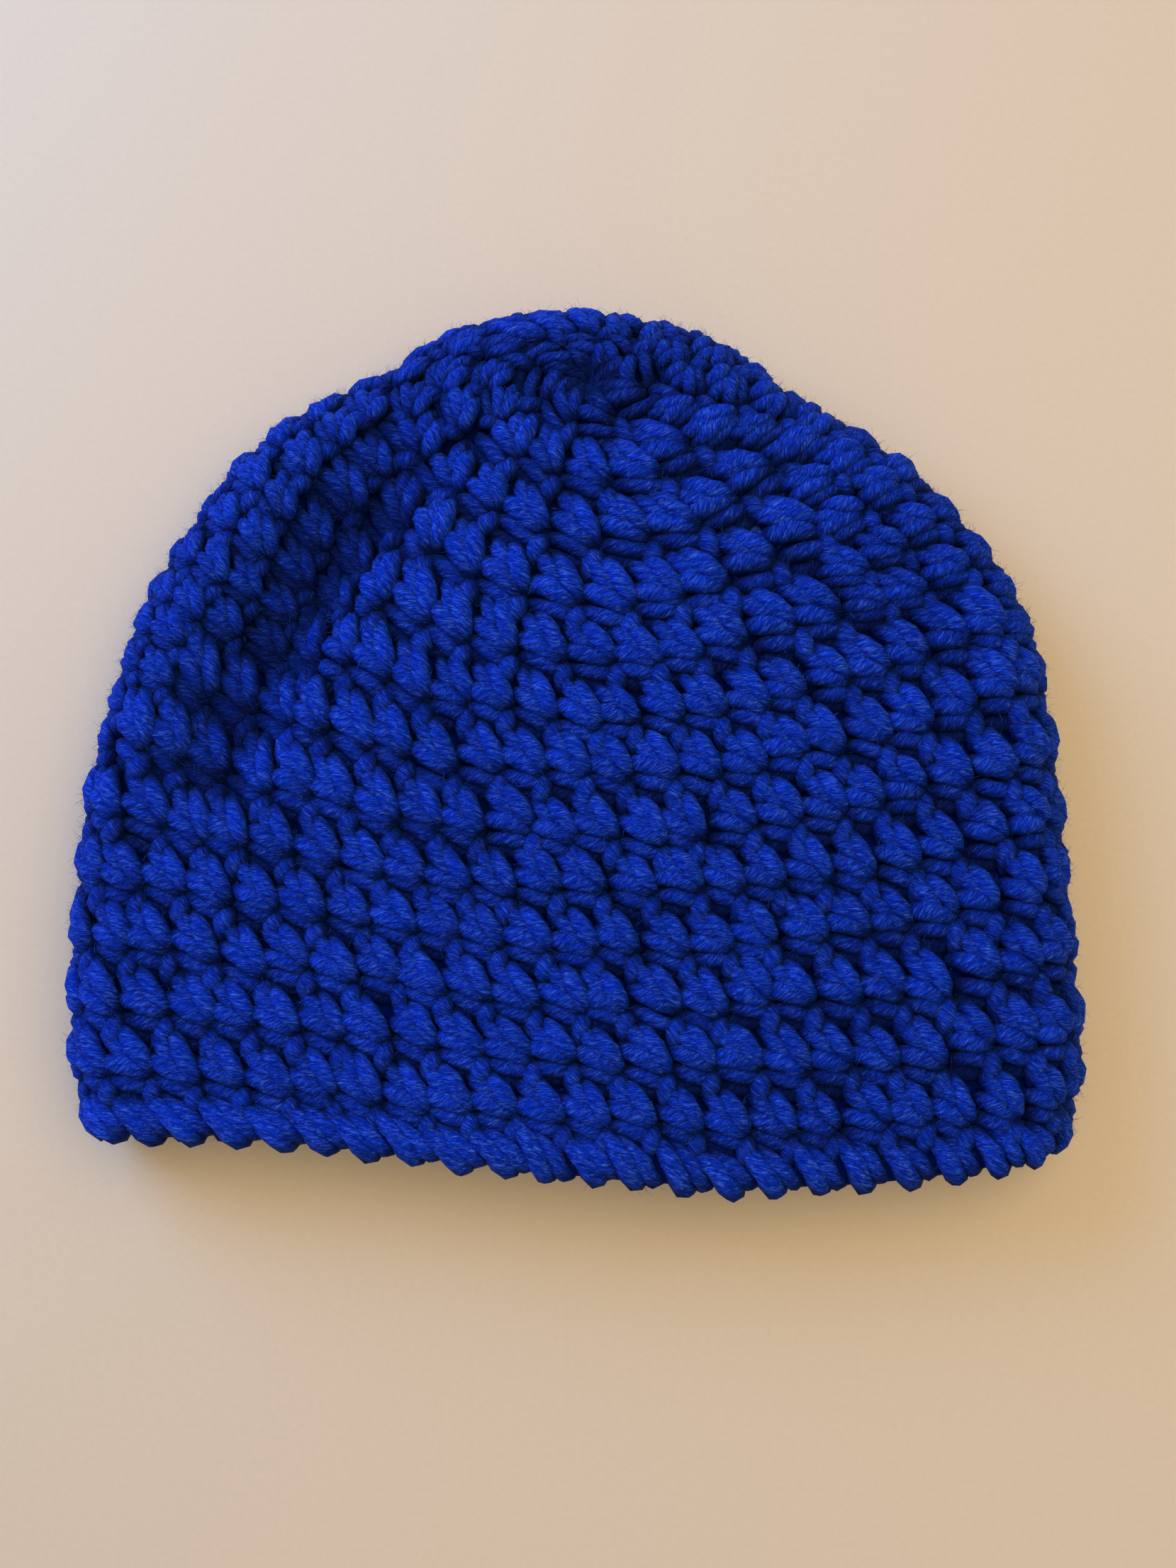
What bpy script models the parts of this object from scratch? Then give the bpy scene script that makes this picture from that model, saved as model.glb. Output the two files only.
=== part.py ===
"""A chunky beanie crocheted in the round, laid flat on a table with its mouth towards -Y.

The hat is one hollow wall of yarn, closed at the crown and open at the rim, with a rope-like
edging as its last round. Each piece is first turned as a flat disc or ring, as it is worked from
the crown's centre outwards, and is then laid flat: folded along its left and right sides, with
one layer on the table and the other above it.
"""
import math
from collections import namedtuple

import bmesh
import bpy
from mathutils import Vector

# Driving dimensions in metres. The thickness is that of both layers with the air between them,
# before the swells of the upper layer are added.
WIDTH = 0.240
LENGTH = 0.217
THICKNESS = 0.027
WALL = 0.008
RIB_DEPTH = 0.0018
EDGING_WALL = 0.0085
EDGING_SCALLOP = 0.0016
EDGING_SOFT_CORNER = 0.002
PIECE_GAP = 0.0005

# How it is worked: rounds of the crown and sides, stitches in the last round, and where the flat
# top of a rib starts and ends, as shares of its round
ROUNDS = 13
STITCHES = 48
RIB_TOP_START = 0.33
RIB_TOP_END = 0.70

# How finely the faces follow the form
STEPS_AROUND = 64
FOLD_CROWDING = 0.45
SLOPE_STEP_ROUNDS = 0.02
SLOPE_STEP_TURN = 0.002

# The form when laid flat, from the crown's centre at place 0 to the edging's edge at the last
# place. The folds at the left and right and the middle of the front and back layers are shares of
# half the width (out) and of half the length (up). rise is a share of the thickness. folded is 0
# where the wall runs in an oval round the crown's centre, and 1 where it is a flat loop with a
# fold at each side. skew moves the lowest point of its curve to the right.
Station = namedtuple("Station", "place left_out left_up right_out right_up front_up back_up "
                                "side_rise back_rise folded skew")
FORM = (
    Station(0.0, 0.025, 0.811, 0.025, 0.811, 0.811, 0.811, 1.00, 1.00, 0.00, 0.0),
    Station(1.0, -0.130, 0.820, 0.180, 0.805, 0.655, 0.925, 0.99, 0.92, 0.00, 0.0),
    Station(2.0, -0.310, 0.830, 0.365, 0.790, 0.513, 1.006, 0.86, 0.45, 0.12, 0.0),
    Station(3.0, -0.500, 0.800, 0.572, 0.724, 0.369, 0.900, 0.50, 0.05, 0.80, 0.0),
    Station(4.0, -0.667, 0.665, 0.738, 0.571, 0.225, 0.760, 0.50, 0.00, 1.00, 0.0),
    Station(5.0, -0.795, 0.479, 0.870, 0.388, 0.098, 0.605, 0.50, 0.00, 1.00, 0.0),
    Station(6.0, -0.885, 0.295, 0.940, 0.215, -0.025, 0.450, 0.50, 0.00, 1.00, 0.0),
    Station(8.0, -0.972, -0.060, 0.975, -0.110, -0.280, 0.135, 0.50, 0.00, 1.00, 0.0),
    Station(10.0, -1.000, -0.355, 0.990, -0.390, -0.520, -0.190, 0.50, 0.00, 1.00, 0.3),
    Station(12.0, -0.996, -0.650, 1.000, -0.700, -0.760, -0.525, 0.50, 0.00, 1.00, 0.9),
    Station(13.0, -0.976, -0.790, 0.980, -0.830, -0.880, -0.690, 0.48, 0.00, 1.00, 1.2),
    Station(14.0, -0.943, -0.893, 0.955, -0.920, -0.974, -0.820, 0.45, 0.00, 1.00, 1.6),
)

# Dents and swells of the upper layer: place and reach as shares of half the width, half the
# length and half the width, and lift as a share of the thickness
Dent = namedtuple("Dent", "out up reach lift")
DENTS = (
    Dent(0.10, 0.10, 0.45, 0.10),
    Dent(-0.20, -0.95, 0.45, 0.14),
    Dent(0.62, 0.30, 0.25, -0.06),
    Dent(0.02, 0.90, 0.32, -0.12),
)

# Lowest line of the long sag of the upper layer, from the crown down the left side: place as shares
# of half the width and half the length, and depth as a share of the thickness. The upper layer
# falls gently to the line from its left and rises in a short bank on its right, each as wide as
# this share of half the width.
Sag = namedtuple("Sag", "out up depth")
SAG = (
    Sag(-0.18, 0.70, 0.00),
    Sag(-0.27, 0.62, 0.12),
    Sag(-0.41, 0.48, 0.27),
    Sag(-0.52, 0.31, 0.34),
    Sag(-0.60, 0.16, 0.32),
    Sag(-0.66, -0.03, 0.20),
    Sag(-0.72, -0.20, 0.05),
    Sag(-0.76, -0.32, 0.00),
)
SAG_SLOPE = 0.21
SAG_BANK = 0.11

HALF_WIDTH = WIDTH / 2
HALF_LENGTH = LENGTH / 2
ROUND_HEIGHT = LENGTH / (ROUNDS + 1)
RIM = ROUNDS * ROUND_HEIGHT


def station_at(rounds):
    """The form's row after any number of rounds, on a smooth curve through all the stations."""
    last = len(FORM) - 1
    place = rounds / (ROUNDS + 1) * FORM[last].place
    index = 0
    while index < last - 1 and FORM[index + 1].place < place:
        index += 1
    start, end = FORM[index], FORM[index + 1]
    before = FORM[max(index - 1, 0)]
    after = FORM[min(index + 2, last)]
    span = end.place - start.place
    share = (place - start.place) / span

    def smooth(column):
        slope_in = (end[column] - before[column]) / (end.place - before.place)
        slope_out = (after[column] - start[column]) / (after.place - start.place)
        rise = end[column] - start[column]
        bend = share * (1 - share)
        ease = share * share * (3 - 2 * share)
        return start[column] + rise * ease + span * bend * ((1 - share) * slope_in - share * slope_out)

    return Station(*(smooth(column) for column in range(len(Station._fields))))


def fold_section(turn, radius_share):
    """Place across (-1 to 1) and height (0 to 1) on a flat loop whose two ends are half circles."""
    half = turn % 0.5 * 2
    corner = math.pi / 2 * radius_share
    run = 2 * corner + 2 * (1 - radius_share)
    along = min(half, 1 - half) * run
    if along < corner:
        angle = along / radius_share
        across = -1 + radius_share * (1 - math.cos(angle))
        height = math.sin(angle)
    else:
        across = -1 + radius_share + along - corner
        height = 1.0
    if half > 0.5:
        across = -across
    if turn % 1.0 >= 0.5:
        across = -across
    return across, height


def sag_lift(x, y):
    """Height that the long sag adds, which is below nought: it follows the nearest place on its line."""
    spot = Vector((x, y))
    nearest = (math.inf, 0.0, 0.0)
    for start, end in zip(SAG, SAG[1:]):
        foot = Vector((start.out * HALF_WIDTH, start.up * HALF_LENGTH))
        run = Vector((end.out * HALF_WIDTH, end.up * HALF_LENGTH)) - foot
        share = min(max((spot - foot).dot(run) / run.length_squared, 0.0), 1.0)
        away = spot - foot - run * share
        side = run.x * away.y - run.y * away.x
        depth = start.depth + (end.depth - start.depth) * share
        nearest = min(nearest, (away.length, side, depth))
    away, side, depth = nearest
    share = min(away / (HALF_WIDTH * (SAG_BANK if side > 0 else SAG_SLOPE)), 1.0)
    return -depth * (0.5 + 0.5 * math.cos(math.pi * share))


def dent_lift(x, y):
    """Height that the sag, the dents and the swells add to the upper layer."""
    lift = sag_lift(x, y)
    for dent in DENTS:
        away = Vector((x - dent.out * HALF_WIDTH, y - dent.up * HALF_LENGTH)).length
        lift += dent.lift * math.exp(-(away / (dent.reach * HALF_WIDTH)) ** 2)
    return lift * THICKNESS


def round_the_loop(side, front, back, swing, profile, folded):
    """Value on a loop from its values at the sides, front and back: an oval's, a flat loop's or between."""
    oval = side + (front - back) / 2 * swing + ((front + back) / 2 - side) * swing ** 2
    layer = front if swing >= 0 else back
    flat = side + (layer - side) * profile
    return oval + (flat - oval) * folded


def outer_face(rounds, turn):
    """Point on the hat's outer face. turn is 0 at the left fold and 0.5 at the right fold."""
    place = station_at(rounds)
    left = Vector((place.left_out * HALF_WIDTH, place.left_up * HALF_LENGTH))
    right = Vector((place.right_out * HALF_WIDTH, place.right_up * HALF_LENGTH))
    half_chord = max((right.x - left.x) / 2, 1e-6)
    middle = (left + right) / 2
    swing = math.sin(math.tau * turn)
    across, height = fold_section(turn, min(1.0, THICKNESS / 2 / half_chord))
    bow = math.cos(math.pi / 2 * across) * (1 + place.skew * across)
    across += (1 - place.folded) * (-math.cos(math.tau * turn) - across)
    x = middle.x + half_chord * across
    y = (right.y - left.y) / 2 * across + round_the_loop(
        middle.y, place.front_up * HALF_LENGTH, place.back_up * HALF_LENGTH, swing, bow, place.folded)
    rise = max(0.0, round_the_loop(place.side_rise, 1.0, place.back_rise, swing, height, place.folded))
    on_top = max(0.0, 2 * rise - 1)
    return Vector((x, y, THICKNESS * rise + dent_lift(x, y) * on_top))


def laid_flat(reach, turn, depth):
    """Point at a depth under the outer face, at a reach along the wall from the crown's centre."""
    rounds = reach / ROUND_HEIGHT
    if rounds < SLOPE_STEP_ROUNDS:
        return outer_face(0.0, 0.0) - Vector((0.0, 0.0, depth))
    along = outer_face(rounds + SLOPE_STEP_ROUNDS, turn) - outer_face(rounds - SLOPE_STEP_ROUNDS, turn)
    around = outer_face(rounds, turn + SLOPE_STEP_TURN) - outer_face(rounds, turn - SLOPE_STEP_TURN)
    normal = along.cross(around).normalized()
    return outer_face(rounds, turn) - normal * depth


def turned(profile, steps, closed):
    """Disc or ring: the profile's points are (reach, height), turned round the crown's axis."""
    mesh = bmesh.new()
    corners = [mesh.verts.new((reach, 0.0, height)) for reach, height in profile]
    ends = corners[1:] + corners[:1] if closed else corners[1:]
    edges = [mesh.edges.new(pair) for pair in zip(corners, ends)]
    bmesh.ops.spin(mesh, geom=corners + edges, cent=(0, 0, 0), axis=(0, 0, 1), dvec=(0, 0, 0),
                   angle=math.tau, steps=steps, use_merge=True)
    bmesh.ops.remove_doubles(mesh, verts=mesh.verts, dist=1e-6)
    bmesh.ops.recalc_face_normals(mesh, faces=mesh.faces)
    return mesh


def lay_flat(mesh, crowding, rim_wave):
    """Moves each point of a turned piece to its place on the folded hat."""
    for corner in mesh.verts:
        reach = math.hypot(corner.co.x, corner.co.y)
        turn = math.atan2(corner.co.y, corner.co.x) / math.tau % 1.0
        turn -= crowding * math.sin(2 * math.tau * turn) / (2 * math.tau)
        corner.co = laid_flat(reach + rim_wave(reach, turn), turn, -corner.co.z)


def yarn(name, colour):
    """Matt dyed wool-like yarn."""
    material = bpy.data.materials.new(name)
    material.use_nodes = True
    shader = material.node_tree.nodes["Principled BSDF"]
    shader.inputs["Base Color"].default_value = (*colour, 1.0)
    shader.inputs["Roughness"].default_value = 0.9
    shader.inputs["Metallic"].default_value = 0.0
    return material


def finished(name, mesh, material, collection):
    """Object in the hat's collection, shaded smooth."""
    data = bpy.data.meshes.new(name)
    mesh.to_mesh(data)
    mesh.free()
    data.shade_smooth()
    data.materials.append(material)
    piece = bpy.data.objects.new(name, data)
    collection.objects.link(piece)
    return piece


def crown_and_sides(collection):
    """The hollow wall: a rib for each round outside, and a plainer face inside."""
    end = RIM - PIECE_GAP / 2
    profile = [(0.0, 0.0)]
    for number in range(ROUNDS):
        profile.append(((number + RIB_TOP_START) * ROUND_HEIGHT, 0.0))
        profile.append(((number + RIB_TOP_END) * ROUND_HEIGHT, 0.0))
        if number < ROUNDS - 1:
            profile.append(((number + 1.0) * ROUND_HEIGHT, -RIB_DEPTH))
    profile.append((end, -RIB_DEPTH))
    profile.append((end, -WALL))
    for number in range(ROUNDS - 1, 0, -1):
        profile.append((number * ROUND_HEIGHT, -WALL))
    profile.append((0.0, -WALL))
    mesh = turned(profile, STEPS_AROUND, closed=False)
    lay_flat(mesh, FOLD_CROWDING, lambda reach, turn: 0.0)
    return finished("crown_and_sides", mesh, yarn("blue_yarn", (0.004, 0.045, 0.42)), collection)


def edging(collection):
    """The last round: a rope round the mouth, with one scallop to a stitch."""
    start = RIM + PIECE_GAP / 2
    end = RIM + ROUND_HEIGHT
    middle = (start + end) / 2
    soft = EDGING_SOFT_CORNER
    profile = [
        (start, -RIB_DEPTH),
        (start + soft, 0.0),
        (middle, 0.0),
        (end - soft / 2, -soft / 2),
        (end, -EDGING_WALL / 2),
        (end - soft / 2, -EDGING_WALL + soft / 2),
        (middle, -EDGING_WALL),
        (start, -WALL),
    ]
    mesh = turned(profile, STITCHES * 2, closed=True)

    def scallop(reach, turn):
        share = max(0.0, (reach - middle) / (end - middle))
        return -EDGING_SCALLOP * share * (0.5 - 0.5 * math.cos(math.tau * STITCHES * turn))

    lay_flat(mesh, 0.0, scallop)
    return finished("edging", mesh, yarn("blue_edging_yarn", (0.004, 0.05, 0.45)), collection)


def main():
    for old in list(bpy.data.objects):
        bpy.data.objects.remove(old, do_unlink=True)
    collection = bpy.data.collections.new("beanie")
    bpy.context.scene.collection.children.link(collection)
    crown_and_sides(collection)
    edging(collection)


main()
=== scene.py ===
"""Looks of a chunky beanie crocheted in the round, laid flat: every stitch is modelled in yarn."""
import math
import random
from collections import namedtuple

import bmesh
import bpy
import numpy as np
from bpy.props import FloatProperty, FloatVectorProperty, IntProperty, PointerProperty
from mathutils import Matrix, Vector, noise
from mathutils.bvhtree import BVHTree


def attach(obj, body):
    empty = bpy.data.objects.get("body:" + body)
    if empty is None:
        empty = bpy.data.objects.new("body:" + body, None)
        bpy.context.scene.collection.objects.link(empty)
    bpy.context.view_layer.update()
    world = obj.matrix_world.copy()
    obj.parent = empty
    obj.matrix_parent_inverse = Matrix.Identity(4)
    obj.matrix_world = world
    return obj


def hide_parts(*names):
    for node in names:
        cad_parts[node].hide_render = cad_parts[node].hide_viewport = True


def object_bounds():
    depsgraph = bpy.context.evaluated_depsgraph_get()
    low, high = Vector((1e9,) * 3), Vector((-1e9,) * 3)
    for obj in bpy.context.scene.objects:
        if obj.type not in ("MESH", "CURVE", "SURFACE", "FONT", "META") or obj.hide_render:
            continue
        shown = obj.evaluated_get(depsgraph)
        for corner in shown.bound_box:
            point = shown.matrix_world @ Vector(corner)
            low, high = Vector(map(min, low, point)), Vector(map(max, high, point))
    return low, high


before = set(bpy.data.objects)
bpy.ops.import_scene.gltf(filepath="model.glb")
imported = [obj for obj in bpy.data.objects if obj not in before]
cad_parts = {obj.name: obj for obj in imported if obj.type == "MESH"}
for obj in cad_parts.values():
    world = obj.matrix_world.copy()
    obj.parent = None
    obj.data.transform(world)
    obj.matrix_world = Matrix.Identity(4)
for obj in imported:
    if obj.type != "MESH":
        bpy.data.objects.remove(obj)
CAD_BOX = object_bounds()

bl_info = {
    "name": "Crocheted Beanie",
    "version": (1, 0, 0),
    "blender": (4, 5, 0),
    "location": "View3D > Sidebar > Beanie",
    "description": "Lays yarn stitches, an edging and fuzz over a hat that lies flat",
    "category": "Add Mesh",
}

# The hat's form, as the solids have it, in metres
WIDTH = 0.240
LENGTH = 0.217
THICKNESS = 0.027
WALL = 0.008
ROUNDS = 13
STITCHES = 48
HALF_WIDTH = WIDTH / 2
HALF_LENGTH = LENGTH / 2

# Small steps that give the slope of the outer face, in rounds and in turns
SLOPE_STEP_ROUNDS = 0.02
SLOPE_STEP_TURN = 0.002

# Steps along each layer where turns are made even, steps round the hat in the cores behind the
# stitches, and steps round it in the search tree of its face
TURN_STEPS = 48
CORE_STEPS = 144
FACE_STEPS = 96

# Sides of the yarn, of the yarn on the inner face and of a loose fibre, and spans between places
YARN_SIDES = 8
INNER_SIDES = 6
FIBRE_SIDES = 3
YARN_SPANS = 2
FIBRE_SPANS = 1

# Rounds of the crown, of the shoulders and of the sides
CROWN_ROUNDS = range(1, 6)
SHOULDER_ROUNDS = range(6, 8)
SIDE_ROUNDS = range(8, ROUNDS + 1)

# Stitches that each round has more than the one before it, until the count is full
MORE_STITCHES = 8

# Nearest to the crown's centre that a stitch begins, and that turns are made even, in rounds
CENTRE_GAP = 0.05
CENTRE_TURNS = 0.2

# How far each round's stitches lie to the left of those above them, in stitches
LEAN = 0.25

# Usual size of a stitch in metres, for which the strands have their full thickness. Where a round
# is this many times as tall, as at the shoulders, two stitches stand in it one above the other.
STITCH_WIDTH = 0.0104
STITCH_HEIGHT = 0.0137
DOUBLE_HEIGHT = 1.4

# The first stitches are drawn into a small hollow at the crown's centre: its depth in metres, and
# how far it reaches in rounds
CROWN_PULL = 0.0042
CROWN_PULL_REACH = 0.34

# Least and most by which a strand's thickness changes with the size of its stitch
THINNEST = 0.75
PLUMPEST = 1.2

# How much of the yarn's unevenness goes into each chance move: a stitch's tilt, its shift upwards
# and its rise out of the face, a strand's drift, and a place's wobble upwards
TILT_SHARE = 1.6
SHIFT_UP_SHARE = 0.7
RISE_SHARE = 1.5
DRIFT_SHARE = 0.6
WOBBLE_SHARE = 0.4

# How far the rounds stray from their even height, in rounds. The noise that moves them is read on a
# circle of this radius, this much further on for each round, and fades in and out over so many rounds.
SWAY = 0.14
SWAY_CIRCLE = 3
SWAY_CHANGE = 0.45
SWAY_FADE_IN = 3
SWAY_FADE_OUT = 2

# Depth of each core under the outer face and over the inner face, in yarn thicknesses. The
# edging's core starts and ends at these places of the last round, and ends in a slanted lip.
Core = namedtuple("Core", "outer inner")
WALL_CORE = Core(1.2, 0.6)
EDGING_CORE = Core(0.6, 0.4)
EDGING_CORE_START = -0.05
EDGING_CORE_END = 0.72
EDGING_CORE_LIP = 0.08

# The form when laid flat, from the crown's centre at place 0 to the edging's edge at the last
# place. The folds at the left and right and the middle of the front and back layers are shares of
# half the width (out) and of half the length (up). rise is a share of the thickness. folded is 0
# where the wall runs in an oval round the crown's centre, and 1 where it is a flat loop with a
# fold at each side. skew moves the lowest point of its curve to the right.
Station = namedtuple("Station", "place left_out left_up right_out right_up front_up back_up "
                                "side_rise back_rise folded skew")
FORM = (
    Station(0.0, 0.025, 0.811, 0.025, 0.811, 0.811, 0.811, 1.00, 1.00, 0.00, 0.0),
    Station(1.0, -0.130, 0.820, 0.180, 0.805, 0.655, 0.925, 0.99, 0.92, 0.00, 0.0),
    Station(2.0, -0.310, 0.830, 0.365, 0.790, 0.513, 1.006, 0.86, 0.45, 0.12, 0.0),
    Station(3.0, -0.500, 0.800, 0.572, 0.724, 0.369, 0.900, 0.50, 0.05, 0.80, 0.0),
    Station(4.0, -0.667, 0.665, 0.738, 0.571, 0.225, 0.760, 0.50, 0.00, 1.00, 0.0),
    Station(5.0, -0.795, 0.479, 0.870, 0.388, 0.098, 0.605, 0.50, 0.00, 1.00, 0.0),
    Station(6.0, -0.885, 0.295, 0.940, 0.215, -0.025, 0.450, 0.50, 0.00, 1.00, 0.0),
    Station(8.0, -0.972, -0.060, 0.975, -0.110, -0.280, 0.135, 0.50, 0.00, 1.00, 0.0),
    Station(10.0, -1.000, -0.355, 0.990, -0.390, -0.520, -0.190, 0.50, 0.00, 1.00, 0.3),
    Station(12.0, -0.996, -0.650, 1.000, -0.700, -0.760, -0.525, 0.50, 0.00, 1.00, 0.9),
    Station(13.0, -0.976, -0.790, 0.980, -0.830, -0.880, -0.690, 0.48, 0.00, 1.00, 1.2),
    Station(14.0, -0.943, -0.893, 0.955, -0.920, -0.974, -0.820, 0.45, 0.00, 1.00, 1.6),
)

# Dents and swells of the upper layer: place and reach as shares of half the width, half the
# length and half the width, and lift as a share of the thickness
Dent = namedtuple("Dent", "out up reach lift")
DENTS = (
    Dent(0.10, 0.10, 0.45, 0.10),
    Dent(-0.20, -0.95, 0.45, 0.14),
    Dent(0.62, 0.30, 0.25, -0.06),
    Dent(0.02, 0.90, 0.32, -0.12),
)

# Lowest line of the long sag of the upper layer, from the crown down the left side: place as shares
# of half the width and half the length, and depth as a share of the thickness. The upper layer
# falls gently to the line from its left and rises in a short bank on its right, each as wide as
# this share of half the width. The sag's shade is painted: this share of the height that a place
# has lost counts as depth in the wall, where the yarn's colour is darkened as painted shade.
Sag = namedtuple("Sag", "out up depth")
SAG = (
    Sag(-0.18, 0.70, 0.00),
    Sag(-0.27, 0.62, 0.12),
    Sag(-0.41, 0.48, 0.27),
    Sag(-0.52, 0.31, 0.34),
    Sag(-0.60, 0.16, 0.32),
    Sag(-0.66, -0.03, 0.20),
    Sag(-0.72, -0.20, 0.05),
    Sag(-0.76, -0.32, 0.00),
)
SAG_SLOPE = 0.21
SAG_BANK = 0.11
SAG_PAINTED_SHADE = 0.14

# Strands of one stitch, each a short list of places in the stitch's cell. across runs from the
# cell's left to its right, up from its lower edge to its upper one, sunk is the depth of the
# strand's centre under the hat's face in yarn thicknesses, and plump the share of its thickness.
# They are two steep lobes at the upper right, the plump body at the left, the nearly level strand
# under it, the short leg into the next round, and a deep strand that closes the gap behind it.
Place = namedtuple("Place", "across up sunk plump")
STITCH = (
    (
        Place(0.38, 1.02, 1.15, 0.80),
        Place(0.49, 0.93, 0.62, 1.12),
        Place(0.63, 0.79, 0.34, 1.30),
        Place(0.77, 0.63, 0.28, 1.32),
        Place(0.90, 0.46, 0.44, 1.16),
        Place(1.00, 0.31, 1.15, 0.72),
    ),
    (
        Place(0.08, 1.00, 1.10, 0.80),
        Place(0.17, 0.91, 0.62, 1.06),
        Place(0.30, 0.79, 0.42, 1.18),
        Place(0.43, 0.67, 0.40, 1.18),
        Place(0.56, 0.54, 0.54, 1.04),
        Place(0.67, 0.42, 1.05, 0.72),
    ),
    (
        Place(-0.05, 0.57, 1.20, 0.80),
        Place(0.10, 0.56, 0.66, 1.14),
        Place(0.30, 0.51, 0.42, 1.34),
        Place(0.53, 0.43, 0.42, 1.30),
        Place(0.76, 0.33, 0.54, 1.10),
        Place(0.96, 0.25, 1.10, 0.75),
    ),
    (
        Place(0.02, 0.27, 1.10, 0.80),
        Place(0.20, 0.25, 0.74, 1.00),
        Place(0.43, 0.20, 0.57, 1.14),
        Place(0.68, 0.13, 0.57, 1.10),
        Place(0.88, 0.08, 0.72, 0.95),
        Place(1.06, 0.03, 1.15, 0.70),
    ),
    (
        Place(1.02, 0.20, 1.05, 0.95),
        Place(0.97, 0.10, 0.70, 1.32),
        Place(0.93, -0.01, 0.58, 1.46),
        Place(0.91, -0.12, 0.60, 1.24),
        Place(0.90, -0.23, 0.78, 0.86),
        Place(0.89, -0.35, 1.10, 0.50),
    ),
    (
        Place(0.00, 0.06, 1.25, 0.90),
        Place(0.20, 0.03, 1.12, 1.10),
        Place(0.40, 0.00, 1.06, 1.15),
        Place(0.60, -0.02, 1.06, 1.15),
        Place(0.80, -0.01, 1.12, 1.10),
        Place(1.00, 0.02, 1.25, 0.90),
    ),
)

# Strands of the inner face, where sunk counts from the inner face into the wall
INNER_STITCH = (
    (
        Place(-0.10, 0.80, 0.60, 0.60),
        Place(0.30, 0.86, 0.42, 0.85),
        Place(0.75, 0.80, 0.42, 0.85),
        Place(1.10, 0.70, 0.60, 0.60),
    ),
    (
        Place(0.10, 0.70, 0.60, 0.60),
        Place(0.25, 0.50, 0.42, 0.85),
        Place(0.55, 0.25, 0.42, 0.85),
        Place(0.80, 0.02, 0.60, 0.60),
    ),
)

# Strands of one scallop of the edging, a plump pair that goes over the hat's edge and ends on its
# inner face
EDGING_STITCH = (
    (
        Place(-0.38, 1.08, 1.00, 0.95),
        Place(-0.14, 0.87, 0.50, 1.32),
        Place(0.15, 0.56, 0.28, 1.66),
        Place(0.42, 0.17, 0.76, 1.66),
        Place(0.60, 0.28, 1.58, 1.15),
        Place(0.74, 0.78, 1.86, 0.80),
    ),
    (
        Place(-0.04, 1.08, 1.05, 0.90),
        Place(0.24, 0.88, 0.58, 1.22),
        Place(0.54, 0.62, 0.44, 1.48),
        Place(0.80, 0.33, 0.90, 1.42),
        Place(0.98, 0.44, 1.58, 1.10),
        Place(1.10, 0.80, 1.86, 0.80),
    ),
)

# A loose fibre from its root to its tip: its place along the length, how much of the curl it has,
# and its radius as a share of the thickness
Hair = namedtuple("Hair", "along curl radius")
FIBRE = (
    Hair(0.0, 0.0, 0.5),
    Hair(0.5, 1.0, 0.4),
    Hair(0.9, 2.2, 0.15),
)

# A fibre's root lies at this share of the strand's radius, and the fibre leans outwards by so much
# against a chance direction. Its length and its curl are chance shares between these two.
FIBRE_ROOT = 0.8
FIBRE_OUTWARDS = 0.8
FIBRE_LENGTHS = (0.5, 1.4)
FIBRE_CURLS = (0.1, 0.45)

# The halo of fuzz grows where the hat's face is steep: where its outward direction, of length 1,
# rises or falls by less than this
HALO_LEVEL = 0.8

# A strand's UV map starts this far past the strand's own whole number and runs over this span, so
# that it stays clear of the next strand's
UV_START = 0.001
UV_SPAN = 0.998

# How the yarn is shaded. The grooves between plies wander by so many radians, and the plies' crests
# are rounded by this power. The fibres turn by so many radians along a strand, and stand up by this
# share of a ply. Each strand's noise is this far from the next one's.
PLY_WANDER = 3.5
CREST_POWER = 0.45
FIBRE_TURN = -5.0
FIBRE_HEIGHT = 0.45
STRAND_STEP = 3.7

# Least share of the dye and its spread, from strand to strand and from blotch to blotch
DYE_LEAST = 0.88
DYE_SPREAD = 0.24
BLOTCH_LEAST = 0.35
BLOTCH_SPREAD = 1.3

# Painted shade: the yarn has its full colour down to the first of these depths, and is painted
# darkest from the second on, in yarn thicknesses. A depth below nought stands out of the hat's face.
PAINTED_SHADE_START = -0.34
PAINTED_SHADE_FULL = 0.45

# Painted highlight: a pale colour put on the fibres as where they catch the light, and the values
# of the fibre noise at which it starts and is full
PAINTED_HIGHLIGHT_COLOUR = (0.12, 0.30, 0.66)
PAINTED_HIGHLIGHT_START = 0.51
PAINTED_HIGHLIGHT_FULL = 0.76

# Strength and height in metres of the relief of fibres and grain
RELIEF = 0.8
RELIEF_HEIGHT = 0.0005

# Soft square lights that face the hat: place and side in metres, and colour
Light = namedtuple("Light", "place side colour")
WINDOW_LIGHT = Light((-0.54, 0.42, 0.44), 0.5, (0.2, 0.45, 1.0))
LAMP_LIGHT = Light((0.25, 0.10, 0.92), 0.9, (1.0, 0.78, 0.45))
SKY_COLOUR = (1.0, 0.88, 0.74)

# The camera: focal length and picture height in pixels, film height in millimetres, place in metres
# and tilt from straight down in degrees
FOCAL_PIXELS = 2200
PICTURE_HEIGHT = 2212
FILM_HEIGHT = 36.0
CAMERA_PLACE = (0.0031, -0.0615, 0.390)
CAMERA_TILT = 7.5


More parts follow.
